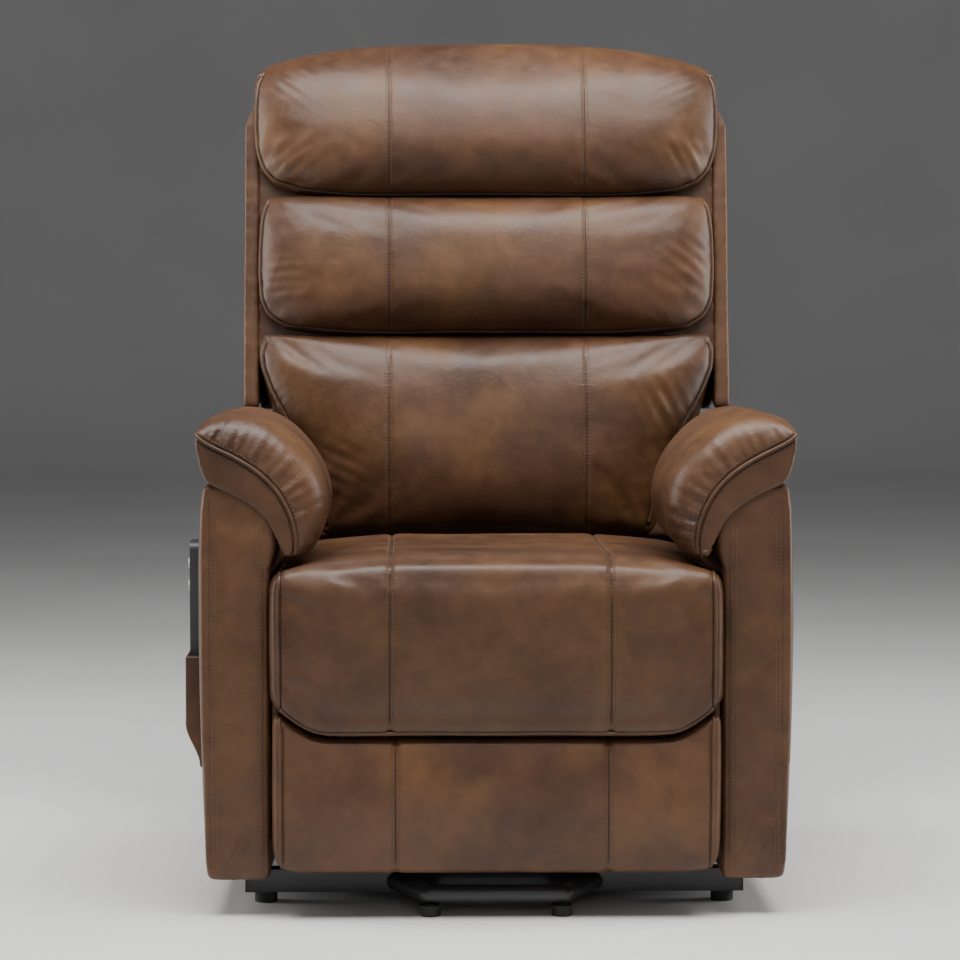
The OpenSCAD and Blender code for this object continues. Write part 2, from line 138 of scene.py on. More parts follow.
def leather(name, offset, light=1.0):
    """Waxed pull-up leather: cloudy brown with ochre patches, fine grain and soft creases."""
    material, nodes, links, shader = new_material(name)
    vector = object_vector(nodes, links, offset)
    clouds = noise(nodes, links, vector, 5.6, 3.0, 0.5, 0.3)
    patches = noise(nodes, links, vector, 7.5, 2.0, 0.5, 0.2)
    mottle = noise(nodes, links, vector, 34, 4.0, 0.6, 0.4)
    stops = [(0.30, DARK), (0.46, BROWN), (0.60, TAN), (0.74, BROWN)]
    colour = ramp(nodes, links, clouds, stops)
    warm = map_range(nodes, links, patches, 0.0, 0.60, 0.48, 0.72)
    colour = mix_colour(nodes, links, warm, colour, OCHRE)
    shade = ramp(nodes, links, mottle, [(0.3, (0.80, 0.79, 0.78)), (0.7, (1.15, 1.13, 1.10))])
    colour = mix_colour(nodes, links, 1.0, colour, shade, "MULTIPLY")
    # light makes the whole piece a lighter or darker copy of the same leather: painted light and shade, set per
    # piece.
    if light != 1.0:
        colour = mix_colour(nodes, links, 1.0, colour, (light, light, light), "MULTIPLY")
    links.new(colour, shader.inputs["Base Color"])
    links.new(map_range(nodes, links, mottle, 0.37, 0.51), shader.inputs["Roughness"])
    grain = nodes.new("ShaderNodeTexVoronoi")
    grain.feature = "F1"
    grain.inputs["Scale"].default_value = 620
    links.new(vector, grain.inputs["Vector"])
    creases = noise(nodes, links, vector, 95, 5.0, 0.62, 1.4)
    soft = noise(nodes, links, vector, 26, 2.0, 0.5, 0.6)
    normal = bump(nodes, links, soft, 0.30, 0.0022)
    normal = bump(nodes, links, creases, 0.38, 0.0009, normal)
    normal = bump(nodes, links, grain.outputs["Distance"], 0.22, 0.00025, normal)
    links.new(normal, shader.inputs["Normal"])
    shader.inputs["Specular IOR Level"].default_value = 0.32
    shader.inputs["Coat Weight"].default_value = 0.05
    shader.inputs["Coat Roughness"].default_value = 0.36
    return material


def plain(name, low, high, rough, scale=180, metallic=0.0, bump_mm=0.05, coat=0.0):
    """A moulded, painted or plated surface whose colour, gloss and relief vary a little."""
    material, nodes, links, shader = new_material(name)
    vector = object_vector(nodes, links, (0, 0, 0))
    fine = noise(nodes, links, vector, scale, 3.0, 0.55)
    broad = noise(nodes, links, vector, 9, 3.0, 0.55)
    colour = ramp(nodes, links, broad, [(0.3, low), (0.7, high)])
    links.new(colour, shader.inputs["Base Color"])
    links.new(map_range(nodes, links, fine, rough * 0.85, rough * 1.2), shader.inputs["Roughness"])
    links.new(bump(nodes, links, fine, 0.25, bump_mm * MM), shader.inputs["Normal"])
    shader.inputs["Metallic"].default_value = metallic
    shader.inputs["Coat Weight"].default_value = coat
    shader.inputs["Coat Roughness"].default_value = 0.08
    return material


def wood(name):
    """Raw frame timber with stretched grain."""
    material, nodes, links, shader = new_material(name)
    place = nodes.new("ShaderNodeTexCoord")
    mapping = nodes.new("ShaderNodeMapping")
    mapping.inputs["Scale"].default_value = (60, 4, 60)
    links.new(place.outputs["Object"], mapping.inputs["Vector"])
    grain = noise(nodes, links, mapping.outputs["Vector"], 1.0, 5.0, 0.6, 0.8)
    colour = ramp(nodes, links, grain, [(0.3, (0.36, 0.22, 0.11)), (0.7, (0.58, 0.41, 0.24))])
    links.new(colour, shader.inputs["Base Color"])
    links.new(map_range(nodes, links, grain, 0.55, 0.75), shader.inputs["Roughness"])
    links.new(bump(nodes, links, grain, 0.3, 0.0004), shader.inputs["Normal"])
    return material


THREAD = plain("thread", (0.075, 0.042, 0.024), (0.12, 0.068, 0.040), 0.6, 900, bump_mm=0.2)
# Near-black tubes for seam grooves and the edges beside welts: painted shade in those grooves.
SEAM_SHADE = plain("seam_shadow", (0.011, 0.006, 0.004), (0.024, 0.012, 0.007), 0.75, 300)
GLOSS_BLACK = plain("gloss_black", (0.010, 0.010, 0.011), (0.018, 0.018, 0.020), 0.42, 420,
                    bump_mm=0.02, coat=0.18)
RUBBER = plain("rubber", (0.012, 0.012, 0.012), (0.028, 0.027, 0.026), 0.75, 700, 0.0, 0.15)
BLACK_PLASTIC = plain("black_plastic", (0.016, 0.016, 0.017), (0.030, 0.030, 0.032), 0.55, 1400,
                      bump_mm=0.08)
MOTOR_PLASTIC = plain("motor_plastic", (0.03, 0.031, 0.033), (0.05, 0.051, 0.054), 0.5, 1200, 0.0, 0.10)
ZINC = plain("zinc", (0.34, 0.34, 0.33), (0.52, 0.52, 0.50), 0.34, 240, 1.0, 0.04)
GROUND_STEEL = plain("ground_steel", (0.52, 0.52, 0.53), (0.68, 0.68, 0.69), 0.18, 500, 1.0, 0.02)
HANDSET_GREY = plain("handset_grey", (0.028, 0.030, 0.033), (0.044, 0.046, 0.050), 0.42, 1600, 0.0, 0.06)
PLATE_GREY = plain("plate_grey", (0.075, 0.079, 0.085), (0.10, 0.105, 0.11), 0.36, 1500, 0.0, 0.04)
KEY_GREY = plain("key_grey", (0.50, 0.50, 0.48), (0.62, 0.62, 0.60), 0.5, 900, 0.0, 0.05)
TIMBER = wood("timber")


# ---------------------------------------------------------------- mesh tools

def mesh_object(name, verts, faces, material=None):
    mesh = bpy.data.meshes.new(name)
    mesh.from_pydata([tuple(float(c) for c in v) for v in verts], [], [tuple(f) for f in faces])
    mesh.update()
    mesh.polygons.foreach_set("use_smooth", [True] * len(mesh.polygons))
    obj = bpy.data.objects.new(name, mesh)
    bpy.context.scene.collection.objects.link(obj)
    if material is not None:
        mesh.materials.append(material)
    return obj


def get_co(obj):
    co = np.empty(len(obj.data.vertices) * 3)
    obj.data.vertices.foreach_get("co", co)
    return co.reshape(-1, 3)


def set_co(obj, co):
    obj.data.vertices.foreach_set("co", co.ravel())
    obj.data.update()


def get_normals(obj):
    normals = np.empty(len(obj.data.vertices) * 3)
    obj.data.vertices.foreach_get("normal", normals)
    return normals.reshape(-1, 3)


def apply_modifiers(obj):
    """Puts the evaluated mesh in place of the base mesh and removes the modifiers."""
    bpy.context.view_layer.update()
    graph = bpy.context.evaluated_depsgraph_get()
    result = bpy.data.meshes.new_from_object(obj.evaluated_get(graph))
    result.polygons.foreach_set("use_smooth", [True] * len(result.polygons))
    old = obj.data
    obj.modifiers.clear()
    obj.data = result
    bpy.data.meshes.remove(old)


def remesh(obj, size=VOXEL, relax=4):
    modifier = obj.modifiers.new("voxels", "REMESH")
    modifier.mode = "VOXEL"
    modifier.voxel_size = size
    apply_modifiers(obj)
    smooth(obj, relax)


def smooth(obj, rounds):
    if rounds:
        modifier = obj.modifiers.new("relax", "SMOOTH")
        modifier.factor = 0.5
        modifier.iterations = rounds
        apply_modifiers(obj)


def subdivide(obj):
    modifier = obj.modifiers.new("finer", "SUBSURF")
    modifier.levels = 1
    modifier.render_levels = 1
    apply_modifiers(obj)


def ring_faces(count, size, start=0):
    """Quads between neighbouring rings of equally many points."""
    faces = []
    for i in range(count - 1):
        low = start + i * size
        for j in range(size):
            k = (j + 1) % size
            faces.append((low + j, low + k, low + size + k, low + size + j))
    return faces


def loft(name, rings, material=None):
    """A closed form through rings of equally many points, with a fan at each end."""
    rings = np.asarray(rings, float)
    count, size = rings.shape[:2]
    verts = list(rings.reshape(-1, 3)) + [rings[0].mean(0), rings[-1].mean(0)]
    faces = ring_faces(count, size)
    last = (count - 1) * size
    for j in range(size):
        k = (j + 1) % size
        faces.append((count * size, k, j))
        faces.append((count * size + 1, last + j, last + k))
    return mesh_object(name, verts, faces, material)


def slab(name, outline, axis, low, high):
    """An outline drawn in the two other axes, extruded along one axis; all in mm."""
    outline = np.asarray(outline, float)
    rings = []
    for level in (low, high):
        ring = np.insert(outline, axis, level, axis=1)
        rings.append(ring * MM)
    return loft(name, rings)


def tube(path, radius, sides=8):
    """Vertices and faces of a round tube along a path of points, with closed ends."""
    path = np.asarray(path, float)
    tangent = np.gradient(path, axis=0)
    tangent /= np.linalg.norm(tangent, axis=1)[:, None] + 1e-12
    side = np.cross(tangent[0], (0.31, 0.17, 0.93))
    verts = []
    for point, along in zip(path, tangent):
        side = side - along * side.dot(along)
        side /= np.linalg.norm(side) + 1e-12
        other = np.cross(along, side)
        angles = np.arange(sides) * 2 * math.pi / sides
        verts.extend(point + radius * (math.cos(a) * side + math.sin(a) * other) for a in angles)
    faces = ring_faces(len(path), sides)
    faces.append(tuple(reversed(range(sides))))
    faces.append(tuple(range((len(path) - 1) * sides, len(path) * sides)))
    return verts, faces


def distances(line):
    """How far along a line each of its points lies."""
    return np.concatenate([[0], np.cumsum(np.linalg.norm(np.diff(line, axis=0), axis=1))])


def spaced(line, count):
    """The same line as a number of evenly spaced points."""
    place = distances(line)
    wanted = np.linspace(0, place[-1], count)
    return np.stack([np.interp(wanted, place, line[:, i]) for i in range(line.shape[1])], 1)


def resample(points, step):
    """The same line with its points about a step apart."""
    points = np.asarray(points, float)
    return spaced(points, max(3, int(distances(points)[-1] / step) + 1))


def rounded(points, rounds=3):
    """Corner cutting: turns a few guide points into a smooth open line."""
    points = np.asarray(points, float)
    for _ in range(rounds):
        cut = [points[0]]
        for a, b in zip(points[:-1], points[1:]):
            cut.extend([a * 0.75 + b * 0.25, a * 0.25 + b * 0.75])
        cut.append(points[-1])
        points = np.array(cut)
    return points


def surface_of(obj):
    return BVHTree.FromObject(obj, bpy.context.evaluated_depsgraph_get())


def project(tree, points, direction, reach=0.6, lift=0.0):
    """Drops points onto a surface along a direction, from a distance before it."""
    direction = Vector(direction).normalized()
    found = []
    for point in points:
        start = Vector(point) - direction * reach
        place, normal, _, _ = tree.ray_cast(start, direction, 2 * reach)
        if place is None:
            place, normal, _, _ = tree.find_nearest(Vector(point))
        found.append(np.array(place + normal * lift))
    return np.array(found)


def snap(tree, points, lift=0.0):
    """Moves points to the nearest place on a surface."""
    found = []
    for point in points:
        place, normal, _, _ = tree.find_nearest(Vector(point))
        found.append(np.array(place + normal * lift))
    return np.array(found)


def even(line, window=9):
    """The same line with its small kinks averaged out."""
    half = window // 2
    longer = np.concatenate([np.repeat(line[:1], half, 0), line, np.repeat(line[-1:], half, 0)])
    weights = np.hanning(window + 2)[1:-1]
    weights /= weights.sum()
    return np.stack([np.convolve(longer[:, i], weights, "valid") for i in range(3)], 1)


def sunk(tree, line, depth):
    """A line moved below a surface by a depth."""
    return even(snap(tree, line, -depth))


def near_line(co, line, reach):
    """Indices of the points near a line, their distance from it and their place along it."""
    low = line.min(0) - reach
    high = line.max(0) + reach
    index = np.nonzero(np.all((co > low) & (co < high), axis=1))[0]
    place = distances(line)
    best = np.full(len(index), FAR)
    along = np.zeros(len(index))
    for start in range(0, len(index), BATCH):
        batch = slice(start, start + BATCH)
        part = co[index[batch]]
        distance = np.linalg.norm(part[:, None, :] - line[None, :, :], axis=2)
        nearest = distance.argmin(1)
        best[batch] = distance[np.arange(len(part)), nearest]
        along[batch] = place[nearest]
    keep = best < reach
    return index[keep], best[keep], along[keep]


def waves(along, seed, lengths):
    """A smooth uneven signal from -1 to 1 along a line."""
    rng = np.random.default_rng(seed)
    total = np.zeros_like(along)
    for length in lengths:
        total += np.sin(2 * math.pi * along / (length * rng.uniform(0.8, 1.2)) + rng.uniform(0, PHASE))
    return total / len(lengths)


def pull_in(obj, line, depth, width, gather=0.0, seed=1, reach=0.034):
    """Sinks a seam into a surface and raises the small gathers that run off it."""
    co = get_co(obj)
    normals = get_normals(obj)
    index, distance, along = near_line(co, line, max(reach, 3 * width))
    move = -depth * np.exp(-((distance / width) ** 2))
    if gather:
        ridge = waves(along, seed, (0.011, 0.017, 0.029))
        where = 0.5 + 0.5 * waves(along, seed + 7, (0.13, 0.31))
        fade = np.exp(-distance / (0.36 * reach)) * (1 - np.exp(-((distance / 0.004) ** 2)))
        move += gather * ridge * where * fade
    co[index] += normals[index] * move[:, None]
    set_co(obj, co)


def undulate(obj, height, seed, lengths=(0.11, 0.17, 0.29)):
    """The slow unevenness of filling under leather."""
    co = get_co(obj)
    rng = np.random.default_rng(seed)
    total = np.zeros(len(co))
    for length in lengths:
        for _ in range(3):
            direction = rng.normal(size=3)
            direction /= np.linalg.norm(direction)
            total += np.sin(co @ direction * 2 * math.pi / length + rng.uniform(0, PHASE)) / 3
    set_co(obj, co + get_normals(obj) * (height * total / len(lengths))[:, None])


def folds(obj, centre, direction, normal_hint, length, spacing, height, count, seed):
    """A group of short soft creases side by side, such as at a cushion's corner."""
    co = get_co(obj)
    normals = get_normals(obj)
    direction = np.array(direction, float) / np.linalg.norm(direction)
    across = np.cross(direction, normal_hint)
    across /= np.linalg.norm(across)
    away = co - np.array(centre)
    t = away @ direction / length
    w = away @ across
    depth = away @ (np.array(normal_hint) / np.linalg.norm(normal_hint))
    rng = np.random.default_rng(seed)
    first, second = rng.uniform(0, PHASE, 2)
    wave = 0.6 * np.cos(2 * math.pi * w / spacing + 2.2 * t + first)
    wave += 0.4 * np.cos(2 * math.pi * w / (1.7 * spacing) - 1.4 * t + second)
    window = np.exp(-(t ** 2) - (w / (0.5 * count * spacing)) ** 2 - (depth / 0.06) ** 2)
    set_co(obj, co + normals * (height * wave * window)[:, None])


def inflate(obj, pressure, cap, pinned, frames=18, spare=0.0, relax=6):
    """Cloth simulation with air pressure; pinned points stay and none moves past the cap."""
    rest = get_co(obj)
    group = obj.vertex_groups.new(name="held")
    weights = pinned(rest)
    for level in (1.0, 0.6, 0.25):
        chosen = np.nonzero(np.abs(weights - level) < 0.18)[0]
        group.add([int(i) for i in chosen], level, "REPLACE")
    cloth = obj.modifiers.new("cloth", "CLOTH")
    cloth.settings.quality = 4
    cloth.settings.mass = 0.25
    cloth.settings.tension_stiffness = 12
    cloth.settings.compression_stiffness = 12
    cloth.settings.shear_stiffness = 6
    cloth.settings.bending_stiffness = 0.4
    cloth.settings.use_pressure = True
    cloth.settings.uniform_pressure_force = pressure
    cloth.settings.shrink_min = -spare
    cloth.settings.vertex_group_mass = "held"
    cloth.settings.pin_stiffness = 1.0
    cloth.settings.effector_weights.gravity = 0
    cloth.collision_settings.use_collision = False
    cloth.point_cache.frame_start = 1
    cloth.point_cache.frame_end = frames
    for number in range(1, frames + 1):
        bpy.context.scene.frame_set(number)
    apply_modifiers(obj)
    bpy.context.scene.frame_set(1)
    obj.vertex_groups.clear()
    move = get_co(obj) - rest
    size = np.linalg.norm(move, axis=1)[:, None] + 1e-9
    set_co(obj, rest + move / size * cap * np.tanh(size / cap))
    smooth(obj, relax)


# ---------------------------------------------------------------- trim

def ribbon(name, lines, radius, material, sides=8):
    """Tubes along several lines in one object: welts, and the near-black tubes of painted shade in seam grooves
    and beside welts.
    """
    verts = []
    faces = []
    for line in lines:
        new_verts, new_faces = tube(line, radius, sides)
        start = len(verts)
        verts.extend(new_verts)
        faces.extend([start + i for i in face] for face in new_faces)
    return mesh_object(name, verts, faces, material)


STITCH_RINGS = ((-1.0, 0.35), (-0.7, 0.95), (0.0, 1.15), (0.7, 0.95), (1.0, 0.35))


def stitches(name, lines, pitch=5.2 * MM, length=3.7 * MM, radius=0.55 * MM):
    """Rows of separate thread stitches lying along lines."""
    verts = []
    faces = []
    sides = 5
    for line in lines:
        line = np.asarray(line)
        place = distances(line)
        for centre in np.arange(pitch, place[-1] - pitch / 2, pitch):
            ends = [np.array([np.interp(centre + d, place, line[:, i]) for i in range(3)])
                    for d in (-length / 2, length / 2)]
            along = ends[1] - ends[0]
            half = np.linalg.norm(along) / 2
            along = along / (2 * half + 1e-12)
            middle = (ends[0] + ends[1]) / 2
            side = np.cross(along, (0.21, 0.93, 0.31))
            side /= np.linalg.norm(side) + 1e-12
            other = np.cross(along, side)
            start = len(verts)
            for t, r in STITCH_RINGS:
                for j in range(sides):
                    a = 2 * math.pi * j / sides
                    ring = math.cos(a) * side + math.sin(a) * other
                    verts.append(middle + along * half * t + radius * r * ring)
            faces.extend(ring_faces(len(STITCH_RINGS), sides, start))
            faces.append(tuple(start + j for j in reversed(range(sides))))
            faces.append(tuple(start + (len(STITCH_RINGS) - 1) * sides + j for j in range(sides)))
    return mesh_object(name, verts, faces, THREAD)


def attach(obj, body):
    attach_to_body(obj, body)
    return obj


def shifted(tree, line, amount, hint, lift, towards=False):
    """A line moved sideways over a surface, along a direction or towards a point."""
    line = np.asarray(line)
    tangent = np.gradient(line, axis=0)
    moved = []
    for point, along in zip(line, tangent):
        _, normal, _, _ = tree.find_nearest(Vector(point))
        side = np.cross(along, np.array(normal))
        side /= np.linalg.norm(side) + 1e-12
        if side.dot(hint - point if towards else hint) < 0:
            side = -side
        moved.append(point + side * amount)
    return even(snap(tree, moved, lift), 5)


# ---------------------------------------------------------------- back

def on_back(points):
    """Points drawn upright about the back pivot (x, depth, height in mm) at the back's lean, in m."""
    points = np.asarray(points, float) * MM
    x, depth, height = points[..., 0], points[..., 1], points[..., 2]
    y = BACK_PIVOT[1] + depth * math.cos(LEAN) + height * math.sin(LEAN)
    z = BACK_PIVOT[2] - depth * math.sin(LEAN) + height * math.cos(LEAN)
    return np.stack([x, y, z], -1)


INTO_BACK = (0.0, math.cos(LEAN), -math.sin(LEAN))


def back_ring(half, front, edge, rear, height, count=22):
    """A level section of a back cushion: crowned front, sides at the edge depth, flat rear."""
    ring = []
    for t in np.linspace(-1, 1, count):
        crown = (1 - abs(t) ** 5.0) ** 0.55
        ring.append((half * t, edge + (front - edge) * crown, height))
    for t in np.linspace(1, -1, count):
        ring.append((half * t * 0.985, rear, height))
    return ring


def arch(x, half, drop):
    return drop * (np.abs(x) / half) ** 3.1


def back_cushion(name, node, rows, welts, seed, offset, top_drop=0.0, creases=()):
    """A back cushion from level rows (half width, front, edge and rear depth, height), all mm."""
    rings = np.array([back_ring(*row) for row in rows], float)
    low = rows[0][4]
    high = rows[-1][4]
    if top_drop:
        t = np.clip((rings[..., 2] - low) / (high - low), 0, 1)
        rings[..., 2] -= arch(rings[..., 0], 341, top_drop) * t * t
    obj = loft(name, on_back(rings), leather(name + "_leather", offset))
    remesh(obj, VOXEL, 2)
    rear = on_back(np.array([0, -30, 0]))

    def held(co):
        depth = (co - rear) @ np.array(INTO_BACK)
        return np.where(depth > 0, 1.0, np.where(depth > -0.03, 0.6, 0.0))

    inflate(obj, 3.0, 19 * MM, held, spare=0.003, relax=14)
    subdivide(obj)
    undulate(obj, 1.3 * MM, seed)
    tree = surface_of(obj)
    lines = []
    for welt in (welts if isinstance(welts[0], list) else [welts]):
        welt = resample(rounded(welt, 3), 4)
        guide = on_back(np.stack([welt[:, 0], np.full(len(welt), -75.0), welt[:, 1]], 1))
        lines.append(snap(tree, guide))
    seams = []
    for x in (-SEAM_X, SEAM_X):
        heights = np.linspace(low + 6, high - 3, 60)
        guide = on_back(np.stack([np.full(60, float(x)), np.full(60, -90.0), heights], 1))
        seams.append(project(tree, guide, INTO_BACK))
    for i, line in enumerate(lines):
        pull_in(obj, line, 3.0 * MM, 4.4 * MM, 0.8 * MM, seed + i)
    for i, seam in enumerate(seams):
        pull_in(obj, seam, 2.4 * MM, 3.6 * MM, 0.5 * MM, seed + i, 0.018)
    for start, end, *shape in creases:
        folds(obj, on_back(start), on_back(end) - on_back(start), INTO_BACK, *shape)
    attach(obj, "back")
    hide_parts(node)
    # Lines just under each seam groove, for the near-black tubes of painted shade along them.
    seam_shade_lines = [sunk(tree, seam, 2.1 * MM) for seam in seams]
    lines = [sunk(tree, line, 1.2 * MM) for line in lines]
    tree = surface_of(obj)
    tip = np.array([-3.5, -1.0, 5.0]) * MM
    if top_drop:
        lines = [np.concatenate([[line[0] + tip], line, [line[-1] + tip * (-1, 1, 1)]])
                 for line in lines]
    # The welts take a slightly darker copy of the cushion's leather (0.92): painted shade.
    trim = leather(name + "_welt_leather", offset, 0.92)
    attach(ribbon(name + "_welt", lines, 2.8 * MM, trim), "back")
    # Near-black tubes in the seam grooves and just inside the welts: painted shade.
    attach(ribbon(name + "_seam_shade", seam_shade_lines, 0.8 * MM, SEAM_SHADE, 6), "back")
    middle = on_back((0, -110, (low + high) / 2))
    inner = [shifted(tree, line, 6 * MM, middle, 0.1 * MM, True) for line in lines]
    attach(ribbon(name + "_welt_shadow", inner, 0.7 * MM, SEAM_SHADE, 6), "back")
    rows_of_stitches = [shifted(tree, seam, 4.2 * MM, np.array([side, 0, 0]), 0.15 * MM)
                        for seam in seams for side in (-1.0, 1.0)]
    attach(stitches(name + "_stitches", rows_of_stitches), "back")


def mirrored(left):
    """A line from the left top down to the middle, continued up the right side."""
    return left + [(-x, z) for x, z in reversed(left)]


HEAD_ROWS = [
    (240, -92, -70, 0, 603), (281, -104, -72, 0, 608), (313, -111, -74, 0, 621),
    (331, -114, -75, 0, 644), (339, -114, -75, 0, 672), (341, -112, -74, 0, 710),
    (341, -107, -72, 0, 750), (341, -98, -68, 0, 782), (340, -84, -60, 0, 806),
    (336, -64, -46, 0, 825), (326, -40, -30, 0, 837), (312, -20, -12, 0, 842), (306, -4, -2, 0, 843)]
MIDDLE_ROWS = [
    (252, -94, -70, 0, 401), (292, -106, -72, 0, 407), (320, -113, -74, 0, 425),
    (331, -116, -75, 0, 450), (334, -117, -75, 0, 492), (333, -115, -74, 0, 540),
    (331, -110, -72, 0, 570), (328, -102, -70, 0, 590), (322, -88, -64, 0, 604)]
LUMBAR_ROWS = [
    (248, -66, -40, 0, 103), (252, -92, -48, 0, 118), (258, -106, -52, 0, 150),
    (264, -113, -56, 0, 180), (284, -115, -62, 0, 240), (303, -114, -68, 0, 285),
    (321, -111, -72, 0, 325), (331, -108, -72, 0, 352), (333, -100, -70, 0, 378),
    (326, -86, -64, 0, 401)]

HEAD_WELT = mirrored([
    (-339, 799), (-341, 780), (-341, 740), (-341, 690), (-338, 660), (-330, 638), (-312, 619),
    (-276, 609), (-200, 605), (-90, 604)])
MIDDLE_WELT = mirrored([
    (-326, 596), (-331, 565), (-333, 505), (-331, 460), (-324, 432), (-308, 415), (-280, 407),
    (-200, 403), (-90, 402)])
back_cushion("head_cushion_pad", "head_cushion", HEAD_ROWS, HEAD_WELT, 11, (0.3, 0.1, 0.7), 39,
             [((-305, -100, 785), (-275, -100, 765), 0.05, 0.015, 0.9 * MM, 4, 3),
              ((300, -100, 785), (270, -100, 765), 0.05, 0.015, 0.8 * MM, 4, 4),
              ((-285, -110, 640), (-255, -110, 670), 0.035, 0.017, 1.0 * MM, 3, 5),
              ((295, -110, 650), (262, -110, 690), 0.04, 0.016, 1.1 * MM, 3, 6)])
back_cushion("middle_cushion_pad", "middle_cushion", MIDDLE_ROWS, MIDDLE_WELT, 23, (1.3, 0.4, 0.2), 0,
             [((-300, -100, 470), (-265, -100, 476), 0.03, 0.015, 0.7 * MM, 5, 8),
              ((300, -100, 500), (268, -100, 515), 0.035, 0.018, 0.9 * MM, 4, 9)])
LUMBAR_WELT = [(328, 394), (332, 370), (326, 335), (292, 278), (264, 232), (243, 185), (240, 118)]
LUMBAR_WELTS = [[(end * x, z) for x, z in LUMBAR_WELT] for end in (-1, 1)]
back_cushion("lumbar_cushion_pad", "lumbar_cushion", LUMBAR_ROWS, LUMBAR_WELTS, 37, (2.1, 0.8, 0.9), 0,
             [((-226, -100, 200), (-196, -100, 190), 0.04, 0.018, 0.9 * MM, 4, 12),
              ((250, -100, 300), (225, -100, 330), 0.04, 0.021, 1.2 * MM, 3, 13)])

GUSSET = [(335, 792), (335, 380), (322, 328), (303, 262), (290, 190), (284, 104)]
outline = GUSSET + [(-x, z) for x, z in reversed(GUSSET)]
rings = [[(x, depth, z) for x, z in outline] for depth in (-58, -53, -20, -14)]
# The gusset takes a darker copy of the leather (0.85): painted shade.
gusset = loft("back_gusset", on_back(rings), leather("gusset_leather", (2.6, 0.9, 0.3), 0.85))
remesh(gusset, VOXEL, 2)
attach(gusset, "back")


# ---------------------------------------------------------------- seat and footrest

def edge_inset(x, half, radius):
    """How much a section shrinks near the ends of a lofted form, for a round edge."""
    gap = min(max(half - abs(x), 0.0), radius)
    return radius - math.sqrt(radius ** 2 - (radius - gap) ** 2)


def stations(half, radius, spacing=22):
    near = [half - radius * (1 - math.cos(a)) for a in np.linspace(0, math.pi / 2, 7)]
    inner = list(np.arange(-(half - radius), half - radius + 1, spacing))[1:]
    return sorted({round(x, 2) for x in [-n for n in near] + inner + near})


def ease_all(value, low, high):
    """A smooth step from 0 at the low value to 1 at the high one."""
    t = np.clip((value - low) / (high - low), 0, 1)
    return t * t * (3 - 2 * t)


def ease(value, low, high):
    """The same step for a single number."""
    return float(ease_all(value, low, high))


def quarter(cy, cz, radius, start, end, count):
    """Part of a circle in the (y, z) plane, from one angle in degrees to another."""
    return [(cy + radius * math.cos(a), cz + radius * math.sin(a))
            for a in np.radians(np.linspace(start, end, count))]


SEAT_HALF = 291
SEAT_FRONT = -430


LIP_LOW = 239
LIP_RISE = 36
CUT_CORNER = (226, 296)


def lip_height(x):
    """Lower edge of the seat's front, which rises towards its cut corners."""
    return LIP_LOW + LIP_RISE * ease(abs(x), *CUT_CORNER)


def seat_top(x):
    return 459 - 7 * ease(abs(x), 110, 240) - 8 * ease(abs(x), 230, 285)


def seat_face(x, inset=0.0):
    """Top, bullnose and front of the seat at one x, as (y, z) from the rear forwards and down."""
    top = seat_top(x) - inset
    front = SEAT_FRONT + inset
    lip = lip_height(x) + inset * 0.5
    line = [(y, top + 6 * ease(-y, 150, 390)) for y in np.linspace(60, front + 20, 24)]
    line += quarter(front + 18, top - 12, 18, 88, 180, 7)
    for t in np.linspace(0.08, 1, 12):
        line.append((front - 1.5 * math.sin(math.pi * t), top - 12 + (lip + 26 - top) * t))
    line += quarter(front + 14, lip + 14, 14, 195, 270, 5)
    return line


def seat_ring(x):
    inset = edge_inset(x, SEAT_HALF, 22)
    lip = seat_face(x, inset)[-1][1]
    ring = seat_face(x, inset)
    ring += [(-390, lip + (333 - lip) * t) for t in np.linspace(0, 1, 6)]
    ring += [(y, 333) for y in np.linspace(-370, 80 - inset, 18)]
    ring += [(80 - inset, z) for z in np.linspace(350, seat_top(x) - inset - 22, 5)]
    ring += quarter(64 - inset, seat_top(x) - inset - 16, 16, 0, 80, 4)
    return [(x, y, z) for y, z in ring]


def face_lines(tree, profile, xs, lift=0.0, skip=0):
    """Seam lines down a front, one for each x."""
    lines = []
    for x in xs:
        guide = resample(np.array([(x, y, z) for y, z in profile(x)][skip:]) * MM, 4 * MM)
        lines.append(snap(tree, guide, lift))
    return lines


def beside(tree, seams):
    """Stitch rows along both sides of each seam."""
    return [shifted(tree, seam, 5 * MM, np.array([side, 0, 0]), 0.15 * MM)
            for seam in seams for side in (-1.0, 1.0)]


def inward(tree, sides):
    """The line where a side welt meets the face, just inside each welt."""
    return [shifted(tree, side, 4.5 * MM, np.array([-math.copysign(1, side[0][0]), 0, 0]), 0.1 * MM)
            for side in sides]


